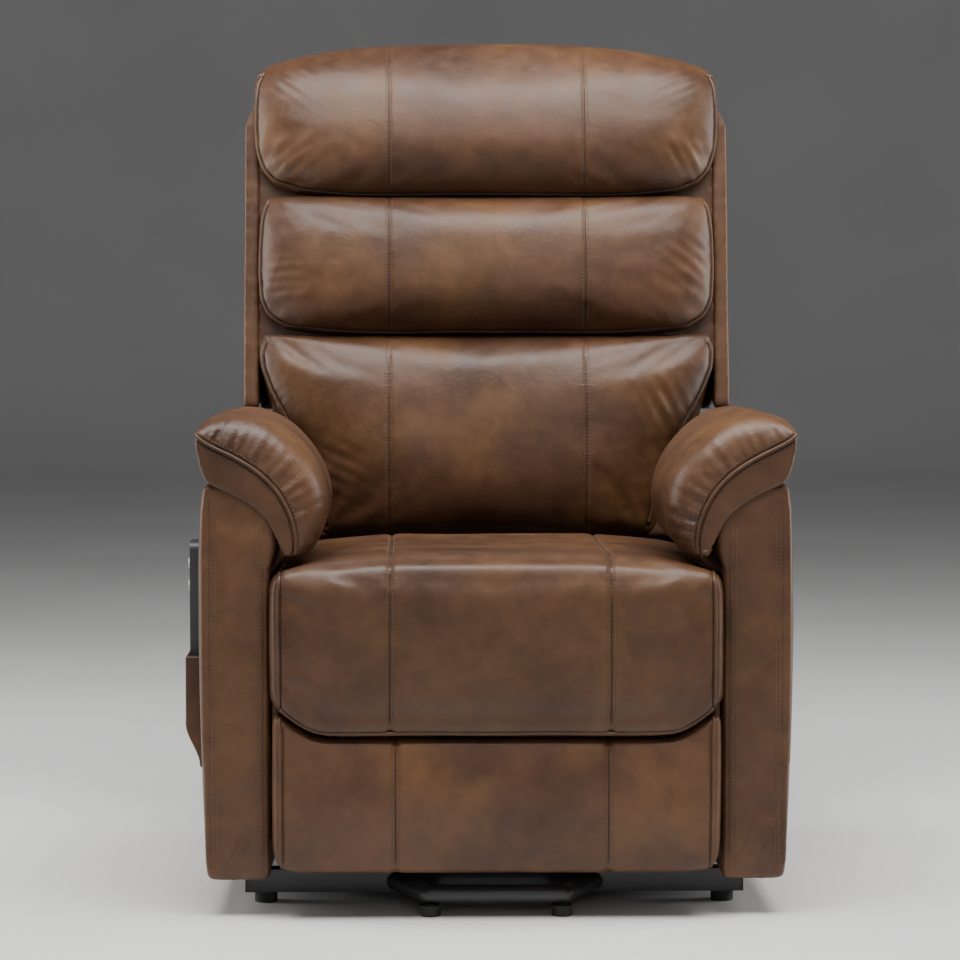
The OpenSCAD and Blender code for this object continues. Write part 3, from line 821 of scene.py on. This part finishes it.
def seat():
    # The seat takes a slightly darker copy of the leather (0.94): painted shade.
    obj = loft("seat_cushion_pad", np.array([seat_ring(x) for x in stations(SEAT_HALF, 22)]) * MM,
               leather("seat_leather", (0.7, 2.2, 0.1), 0.94))
    remesh(obj, VOXEL, 3)

    def held(co):
        x = np.abs(co[:, 0])
        above_lip = co[:, 2] - (LIP_LOW + LIP_RISE * ease_all(x / MM, *CUT_CORNER)) * MM
        under = (co[:, 2] < 0.345) & (co[:, 1] > -0.392)
        fixed = under | (co[:, 1] > 0.05) | (above_lip < 0.014)
        return np.where(fixed, 1.0, np.where((x > 0.281) | (above_lip < 0.03), 0.6, 0.0))

    inflate(obj, 2.2, 5 * MM, held, spare=0.004, relax=4)
    subdivide(obj)
    undulate(obj, 1.4 * MM, 51)
    tree = surface_of(obj)
    seams = face_lines(tree, seat_face, (-137, 146))
    for i, seam in enumerate(seams):
        pull_in(obj, seam, 3.4 * MM, 4.2 * MM, 0.7 * MM, 52 + i, 0.022)
    sides = face_lines(tree, seat_face, (-281, 281), skip=12)
    for i, side in enumerate(sides):
        pull_in(obj, side, 2.6 * MM, 4.0 * MM, 1.1 * MM, 60 + i, 0.030)
    folds(obj, (0.235, -0.43, 0.33), (0.6, 0, 0.8), (0, 1, 0), 0.05, 0.021, 1.0 * MM, 4, 61)
    folds(obj, (-0.225, -0.43, 0.30), (-0.75, 0, 0.66), (0, 1, 0), 0.04, 0.019, 0.8 * MM, 4, 62)
    attach(obj, "carriage")
    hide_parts("seat_cushion")
    seams = [sunk(tree, seam, 3.0 * MM) for seam in seams]
    sides = [sunk(tree, side, 1.2 * MM) for side in sides]
    lip = [(x, *seat_face(x)[-3]) for x in np.linspace(-284, 284, 90)]
    lip = sunk(tree, np.array(lip) * MM, -0.8 * MM)
    tree = surface_of(obj)
    # Near-black tubes in the seam grooves and just inside the side welts: painted shade.
    attach(ribbon("seat_seam_shade", seams, 0.8 * MM, SEAM_SHADE, 6), "carriage")
    attach(stitches("seat_stitches", beside(tree, seams)), "carriage")
    # The welts take a darker copy of the seat leather (0.88): painted shade.
    welt = leather("seat_welt_leather", (0.7, 2.2, 0.1), 0.88)
    attach(ribbon("seat_side_welts", sides, 2.6 * MM, welt), "carriage")
    attach(ribbon("seat_side_shadow", inward(tree, sides), 0.6 * MM, SEAM_SHADE, 6), "carriage")
    attach(ribbon("seat_lip_welt", [lip], 2.6 * MM, welt), "carriage")


PANEL_HALF = 288
PANEL_FRONT = -424


def panel_face(x, inset=0.0):
    """Front of the footrest panel at one x, from the top down."""
    t = min(max((abs(x) - 261) / 26, 0.0), 1.0)
    low = 60 + 25 * (1 - math.sqrt(max(1 - t * t, 0.0))) + inset
    front = PANEL_FRONT + inset
    high = lip_height(x) - 4.5 - inset
    line = quarter(front + 12, high - 12, 12, 90, 180, 7)
    for t in np.linspace(0.08, 1, 14):
        line.append((front - 2 * math.sin(math.pi * t), high - 12 + (low + 26 - high) * t))
    return line + quarter(front + 14, low + 14, 14, 195, 270, 5)


def panel():
    rings = []
    for x in stations(PANEL_HALF, 11):
        inset = edge_inset(x, PANEL_HALF, 11) * 0.9
        face = panel_face(x, inset)
        back = [(-389.5, z) for z in np.linspace(face[-1][1], face[0][1], 12)]
        rings.append([(x, y, z) for y, z in face + back])
    # The footrest panel takes a lighter copy of the leather (1.22): painted light.
    obj = loft("footrest_pad", np.array(rings) * MM, leather("footrest_leather", (1.9, 0.3, 1.4), 1.22))
    remesh(obj, VOXEL, 3)

    def held(co):
        edge = (np.abs(co[:, 0]) > 0.279) | (co[:, 2] < 0.07)
        fixed = (co[:, 1] > -0.396) | (co[:, 2] > 0.220)
        return np.where(fixed, 1.0, np.where(edge, 0.6, 0.0))

    inflate(obj, 2.0, 8 * MM, held, 14, 0.004)
    subdivide(obj)
    undulate(obj, 1.0 * MM, 71)
    tree = surface_of(obj)
    seams = face_lines(tree, panel_face, (-130, 143))
    sides = face_lines(tree, panel_face, (-277, 277))
    for i, seam in enumerate(seams):
        pull_in(obj, seam, 3.4 * MM, 4.6 * MM, 0.7 * MM, 72 + i, 0.02)
    for i, side in enumerate(sides):
        pull_in(obj, side, 1.8 * MM, 3.4 * MM, 0.9 * MM, 76 + i, 0.026)
    attach(obj, "footrest")
    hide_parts("footrest_panel")
    seams = [sunk(tree, seam, 3.0 * MM) for seam in seams]
    sides = [sunk(tree, side, 0.8 * MM) for side in sides]
    tree = surface_of(obj)
    # Near-black tubes in the seam grooves and just inside the side welts: painted shade.
    attach(ribbon("footrest_seam_shade", seams, 0.8 * MM, SEAM_SHADE, 6), "footrest")
    attach(stitches("footrest_stitches", beside(tree, seams)), "footrest")
    # The side welts take a copy of the leather a little darker than the panel (1.1): painted shade.
    trim = leather("footrest_welt_leather", (1.9, 0.3, 1.4), 1.1)
    attach(ribbon("footrest_side_welts", sides, 2.3 * MM, trim), "footrest")
    attach(ribbon("footrest_side_shadow", inward(tree, sides), 0.6 * MM, SEAM_SHADE, 6), "footrest")


def front_board():
    """Leather-covered board behind the cut corners of the seat front."""
    outline = [(-289, 233), (289, 233), (289, 331), (-289, 331)]
    obj = slab("seat_front_board", outline, 1, -388, -379)
    # The board takes a darker copy of the leather (0.8): painted shade behind the seat's cut corners.
    obj.data.materials.append(leather("board_leather", (0.2, 1.1, 0.5), 0.8))
    remesh(obj, 3 * MM, 2)
    attach(obj, "carriage")


seat()
panel()
front_board()


# ---------------------------------------------------------------- arms

def shrunk(outline, inset):
    """An outline drawn in towards its middle by about an inset."""
    middle = outline.mean(0)
    away = outline - middle
    size = np.linalg.norm(away, axis=1)[:, None]
    return middle + away * np.maximum(1 - inset / size, 0.05)


def shrunk_box(outline, inset):
    """An outline with every point moved in by an inset along both axes."""
    low = outline.min(0) + inset
    high = outline.max(0) - inset
    return np.clip(outline, low, high)


PAD_TOP = [
    (387, 625), (384, 635), (373, 642), (358, 646), (330, 647), (300, 641), (270, 621), (243, 593),
    (227, 566), (219, 538), (220, 508), (232, 478), (246, 465), (257, 466)]
PAD_WELT = [
    (387, 625), (377, 615), (362, 607), (336, 595), (306, 577), (283, 555), (267, 529), (257, 498),
    (257, 466)]
PAD_SEAT = [
    (257, 466), (268, 465), (276, 470), (279, 488), (286, 501), (296, 514), (314, 531), (343, 547),
    (374, 561), (383, 590), (387, 625)]
REAR_TOP = [
    (384, 606), (382, 618), (374, 626), (358, 630), (336, 630), (320, 626), (309, 616), (305, 600),
    (304, 580), (304, 560), (304, 546), (304, 538)]
REAR_SEAT = [
    (304, 538), (306, 535), (312, 536), (320, 541), (343, 551), (374, 565), (382, 585), (384, 606)]


def even_line(points, count, rounds=2):
    """A line through guide points, eased at its corners, as a fixed number of even points."""
    return spaced(rounded(points, rounds), count)


def arm_pad(side, name):
    top = even_line(PAD_TOP, 52)
    welt = even_line(PAD_WELT, 52)
    under = even_line(PAD_SEAT, 30)[1:-1]
    front = np.concatenate([top, under])
    rear = np.concatenate([even_line(REAR_TOP, 52), even_line(REAR_SEAT, 30)[1:-1]])
    rings = []
    for t in (0.0, 0.04, 0.12, 0.24, 0.4, 0.6, 0.8, 1.0):
        rise = math.sqrt(1 - (1 - t) ** 2)
        rings.append((-400 + 46 * t, np.concatenate([welt + (top - welt) * rise, under])))
    for y in range(-336, -110, 20):
        rings.append((y, front))
    for y in range(-110, 81, 14):
        t = ease(y, -110, 76)
        rings.append((y, front * (1 - t) + rear * t))
    for y in (110, 150, 190, 225):
        rings.append((y, rear))
    for y, inset in ((240, 1.5), (249, 5), (254, 10)):
        rings.append((y, shrunk(rear, inset)))
    points = np.array([[(side * x, y, z) for x, z in ring] for y, ring in rings]) * MM
    obj = loft(name + "_cushion", points, leather(name + "_leather", (3.1 + side, 0.6, 1.7)))
    remesh(obj, FINE_VOXEL, 2)

    def held(co):
        x = np.abs(co[:, 0]) / MM
        z = co[:, 2] / MM
        order = np.argsort(welt[:, 0])
        below_welt = z < np.interp(x, welt[order, 0], welt[order, 1]) + 3
        inside = (x < 277) & (z < 468)
        seated = (x > 260) & below_welt
        end = co[:, 1] > 0.02
        return np.where(inside | seated, 1.0, np.where(end, 0.6, 0.0))

    inflate(obj, 2.6, 12 * MM, held, 16, 0.01)
    subdivide(obj)
    undulate(obj, 1.4 * MM, 81 + side, (0.09, 0.14, 0.22))
    tree = surface_of(obj)
    guide = resample(welt, 3)
    welt_line = sunk(tree, np.array([(side * x, -401, z) for x, z in guide]) * MM, -0.6 * MM)
    gather_above(obj, welt_line, side)
    attach(obj, "carriage")
    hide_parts(name)
    tree = surface_of(obj)
    corner = welt_line[0] + np.array([side * 3.0, -1.0, 1.5]) * MM
    welt_line = np.concatenate([[corner], welt_line])
    # The welt takes a slightly darker copy of the pad's leather (0.9): painted shade.
    trim = leather(name + "_welt_leather", (3.1 + side, 0.6, 1.7), 0.9)
    attach(ribbon(name + "_welt", [welt_line], 2.5 * MM, trim), "carriage")
    rows = [shifted(tree, welt_line, 6.5 * MM, np.array([side * s, 0, -s]), 0.2 * MM)
            for s in (-1.0, 1.0)]
    attach(stitches(name + "_stitches", rows), "carriage")


def gather_above(obj, line, side):
    """Short gathers that rise from an arm pad's welt, and the crease under it."""
    co = get_co(obj)
    normals = get_normals(obj)
    index, distance, along = near_line(co, line, 0.062)
    nearest = np.linalg.norm(co[index][:, None, :] - line[None, ::6, :], axis=2).argmin(1)
    tangent = np.gradient(line, axis=0)[::6][nearest]
    up = np.stack([-tangent[:, 2], tangent[:, 1] * 0, tangent[:, 0]], 1)
    up *= np.sign(up[:, 2:3] + 1e-9)
    above = ((co[index] - line[::6][nearest]) * up).sum(1) > 0
    ridge = waves(along, 91 + side, (0.012, 0.019, 0.031))
    where = 0.55 + 0.45 * waves(along, 95 + side, (0.11, 0.23))
    fade = np.exp(-distance / 0.026) * (1 - np.exp(-((distance / 0.005) ** 2)))
    move = np.where(above, 4.8 * MM * ridge * where * fade, 0.3 * MM * ridge * fade)
    move -= 2.4 * MM * np.exp(-((distance / (4 * MM)) ** 2))
    co[index] += normals[index] * move[:, None]
    set_co(obj, co)


ARM_OUTLINE = [
    (291, 47), (374, 46), (378, 140), (382, 260), (384, 380), (383, 470), (380, 535), (375, 562),
    (356, 559), (330, 548), (306, 534), (290, 521), (282, 507), (280, 488), (285, 468), (291, 450),
    (291, 300)]


def arm_cover(side, name):
    outline = resample(np.array(ARM_OUTLINE + ARM_OUTLINE[:1], float), 12)[:-1]
    rings = []
    for y, inset in ((-395, 5), (-393, 2), (-388, 0.5), (-380, 0)):
        rings.append([(side * x, y, z) for x, z in shrunk_box(outline, inset)])
    for y in range(-360, 260, 20):
        rings.append([(side * x, y, z) for x, z in outline])
    for y, inset in ((256, 0.5), (261, 2), (263, 5)):
        rings.append([(side * x, y, z) for x, z in shrunk_box(outline, inset)])
    # The arm covers take a lighter copy of the leather (1.12): painted light.
    obj = loft(name + "_panel", np.array(rings) * MM,
               leather(name + "_leather", (4.2 + side, 1.6, 0.4), 1.12))
    remesh(obj, VOXEL, 4)

    def held(co):
        x = np.abs(co[:, 0])
        edge = (co[:, 2] < 0.058) | (co[:, 2] > 0.505) | (x < 0.297)
        return np.where(edge, 1.0, np.where(x > 0.366, 0.6, 0.0))

    inflate(obj, 1.6, 5 * MM, held, 12, 0.004)
    subdivide(obj)
    undulate(obj, 1.0 * MM, 101 + side, (0.12, 0.2, 0.34))
    tree = surface_of(obj)
    edges = []
    for x, high in ((299, 512), (369, 545)):
        guide = np.array([(side * x, -440, z) for z in np.linspace(56, high, 90)]) * MM
        edges.append(even(project(tree, guide, (0, 1, 0))))
    for i, edge in enumerate(edges):
        pull_in(obj, edge, 1.2 * MM, 2.6 * MM, 0.5 * MM, 103 + i + side, 0.022)
    folds(obj, (side * 0.335, -0.397, 0.085), (0.3, 0, 1), (0, 1, 0),
          0.03, 0.013, 1.2 * MM, 4, 107 + side)
    attach(obj, "carriage")
    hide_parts(name)
    edges = [sunk(tree, edge, 1.2 * MM) for edge in edges]
    tree = surface_of(obj)
    # Near-black tubes in the two seam grooves: painted shade.
    attach(ribbon(name + "_seam_shade", edges, 0.5 * MM, SEAM_SHADE, 6), "carriage")
    rows = [shifted(tree, edges[0], d * MM, np.array([side, 0, 0]), 0.2 * MM) for d in (4, 9)]
    rows += [shifted(tree, edges[1], d * MM, np.array([-side, 0, 0]), 0.2 * MM) for d in (4, 9)]
    attach(stitches(name + "_stitches", rows), "carriage")


for side, label in ((1, "left"), (-1, "right")):
    arm_pad(side, "arm_pad_" + label)
    arm_cover(side, "arm_cover_" + label)


# ---------------------------------------------------------------- shell, skirt and pocket

def soft_copy(node, body, name, voxel, relax, offset, light=1.0, swell=0.8 * MM, seed=7, fine=True):
    """A leather-covered version of a CAD solid, with rounded edges."""
    source = frame["nodes"][node]
    obj = mesh_object(name, get_co(source), [p.vertices for p in source.data.polygons],
                      leather(name + "_leather", offset, light))
    remesh(obj, voxel, relax)
    if fine:
        subdivide(obj)
    undulate(obj, swell, seed)
    attach(obj, body)
    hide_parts(node)
    return obj


def drop_wing_tails(shell):
    """Lowers the shell's bottom edge on its wings, more towards the front."""
    co = get_co(shell)
    back = co - np.array([0.0, BACK_PIVOT[1], BACK_PIVOT[2]])
    height = back[:, 1] * math.sin(LEAN) + back[:, 2] * math.cos(LEAN)
    depth = back[:, 1] * math.cos(LEAN) - back[:, 2] * math.sin(LEAN)
    wing = np.abs(co[:, 0]) > 0.33
    drop = 12 * MM * ease_all(-height, -0.36, -0.308) * ease_all(-depth, 0.010, 0.050) * wing
    set_co(shell, co + drop[:, None] * -np.array([0.0, math.sin(LEAN), math.cos(LEAN)]))


def taper_pocket(pocket):
    """Flattens the pocket towards its bottom, below the handset's lower end."""
    co = get_co(pocket)
    root = -0.384           # where the pocket leaves the arm's side
    taper = 0.12 + 0.88 * ease_all(co[:, 2], 0.19, 0.242)
    co[:, 0] = np.where(co[:, 0] < root, root + (co[:, 0] - root) * taper, co[:, 0])
    set_co(pocket, co)


def stitch_pocket(pocket):
    """The hem's stitch row and a slanting one below it."""
    tree = surface_of(pocket)
    hem = np.array([(-430, y, 322) for y in np.linspace(-327, -233, 50)]) * MM
    slant = np.array([(-430, -327 + 90 * t, 240 + 60 * t) for t in np.linspace(0, 1, 50)]) * MM
    lines = [project(tree, line, (1, 0, 0), lift=0.2 * MM) for line in (hem, slant)]
    attach(stitches("side_pocket_stitches", lines), "carriage")


# The shell, skirt and pocket take slightly darker copies of the leather (0.92, 0.9, 0.95): painted shade.
shell = soft_copy("back_shell", "back", "back_shell_cover", FINE_VOXEL, 9, (5.3, 0.2, 2.0),
                  0.92, 1.0 * MM, 111, False)
soft_copy("rear_skirt", "carriage", "rear_skirt_cover", FINE_VOXEL, 3, (6.1, 1.2, 0.7),
          0.9, 1.2 * MM, 113)
pocket = soft_copy("side_pocket", "carriage", "side_pocket_cover", 1.8 * MM, 2, (7.2, 0.5, 1.1),
                   0.95, 0.3 * MM, 115)
drop_wing_tails(shell)
taper_pocket(pocket)
stitch_pocket(pocket)


# ---------------------------------------------------------------- finishes on the CAD pieces

FINISH = {
    "black_steel": GLOSS_BLACK, "rubber": RUBBER, "black_plastic": BLACK_PLASTIC,
    "motor_housing": MOTOR_PLASTIC, "rod_steel": GROUND_STEEL, "link_steel": ZINC,
    "frame_wood": TIMBER, "handset_shell": HANDSET_GREY, "handset_plate": PLATE_GREY,
    "button_grey": KEY_GREY, "leather": leather("plain_leather", (0, 0, 0))}
for subpart in frame["record"]["subparts"]:
    node = frame["nodes"][subpart["node"]]
    node.data.materials.clear()
    node.data.materials.append(FINISH[subpart["material_slot"]])


# ---------------------------------------------------------------- floor, lights, camera

def backdrop():
    """A pale round floor that turns up into a wall well away from the chair."""
    level, cove, top = 9, 3, 14     # radius of the level floor and of its upward turn, wall height
    profile = [(level - 1, 0)]
    profile += [(level + cove * math.sin(a), cove - cove * math.cos(a))
                for a in np.linspace(0, math.pi / 2, 24)]
    profile += [(level + cove, top)]
    turns = 120
    verts = [(r * math.cos(a), r * math.sin(a), z) for r, z in profile
             for a in np.linspace(0, 2 * math.pi, turns, endpoint=False)]
    faces = [tuple(range(turns))] + [face[::-1] for face in ring_faces(len(profile), turns)]
    material, nodes, links, shader = new_material("backdrop")
    vector = object_vector(nodes, links, (0, 0, 0))
    tone = noise(nodes, links, vector, 1.5, 2.0)
    links.new(ramp(nodes, links, tone, [(0.3, (0.62, 0.62, 0.62)), (0.7, (0.66, 0.66, 0.66))]),
              shader.inputs["Base Color"])
    links.new(map_range(nodes, links, tone, 0.5, 0.6), shader.inputs["Roughness"])
    floor = mesh_object("backdrop", verts, faces, material)


def area_light(name, place, target, size, power, colour):
    light = bpy.data.lights.new(name, "AREA")
    light.shape = "RECTANGLE"
    light.size, light.size_y = size
    light.energy = power
    light.color = colour
    obj = bpy.data.objects.new(name, light)
    bpy.context.scene.collection.objects.link(obj)
    obj.location = place
    obj.rotation_euler = (Vector(target) - Vector(place)).to_track_quat("-Z", "Y").to_euler()
    return obj


backdrop()
area_light("overhead", (0.0, -0.9, 3.0), (0, -0.2, 0.6), (3.2, 1.8), 215, (1.0, 0.98, 0.965))
area_light("left_side", (-2.6, 0.3, 1.2), (0, 0, 0.6), (0.9, 2.2), 62, (1.0, 0.99, 0.98))
area_light("right_side", (2.6, 0.3, 1.2), (0, 0, 0.6), (0.9, 2.2), 62, (1.0, 0.99, 0.98))
area_light("front_fill", (0.3, -5.4, 2.2), (0, 0, 0.5), (2.4, 1.6), 26, (1.0, 0.98, 0.96))

world = bpy.data.worlds.new("studio")
world.use_nodes = True
world.node_tree.nodes["Background"].inputs["Color"].default_value = (0.80, 0.80, 0.82, 1)
world.node_tree.nodes["Background"].inputs["Strength"].default_value = 0.15
bpy.context.scene.world = world

camera = bpy.data.cameras.new("camera")
camera.sensor_width = 36
camera.lens = 123.3
camera_object = bpy.data.objects.new("camera", camera)
bpy.context.scene.collection.objects.link(camera_object)
camera_object.location = (-0.1034, -4.595, 0.830)
camera_object.rotation_euler = (math.radians(90 - 3.61), 0, math.radians(-1.12))
bpy.context.scene.camera = camera_object
